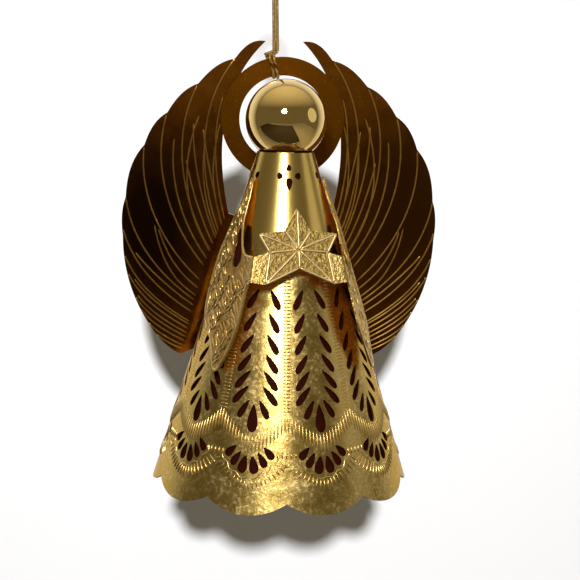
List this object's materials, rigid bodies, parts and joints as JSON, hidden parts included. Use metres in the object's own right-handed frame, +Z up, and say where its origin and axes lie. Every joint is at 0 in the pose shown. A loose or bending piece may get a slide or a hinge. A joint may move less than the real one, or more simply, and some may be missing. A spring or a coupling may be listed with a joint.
{
  "type": "hanging angel ornament",
  "caption": "Hanging angel ornament in etched sheet brass: pierced cone robe, ball head, flat halo ring, feather wings and arms holding a star, on a doubled gold cord.",
  "frame": {"origin": "where the cord's eye bears on its hook", "axes": "+Z up along the hanging cord, -Y to the front of the angel, +X to the right as seen from the front"},
  "size_m": [0.0582, 0.0445, 0.1067],
  "materials": {
    "cord_gold": "metallic thread",
    "knot_gold": "metallic thread",
    "robe_brass": "polished above, satin etched below",
    "head_brass": "mirror polish",
    "arm_brass": "stippled satin",
    "wing_brass": "polished ground with raised lines",
    "halo_brass": "satin",
    "hitch_gold": "metallic thread"
  },
  "bodies": {
    "cord": {"cord_loop": "cord_gold"},
    "bend": {"cord_knot": "knot_gold"},
    "angel": {"robe": "robe_brass", "head_ball": "head_brass", "arms_and_star": "arm_brass", "wings": "wing_brass", "halo": "halo_brass", "cord_hitch": "hitch_gold"}
  },
  "joints": [
    {"name": "turn", "type": "hinge", "parent": "cord", "child": "bend", "pos_m": [0, 0, -0.026], "axis": [0, 0, 1], "continuous": true},
    {"name": "swing", "type": "hinge", "parent": "bend", "child": "angel", "pos_m": [0, 0, -0.026], "axis": [1, 0, 0], "range_deg": [-45, 45]}
  ]
}
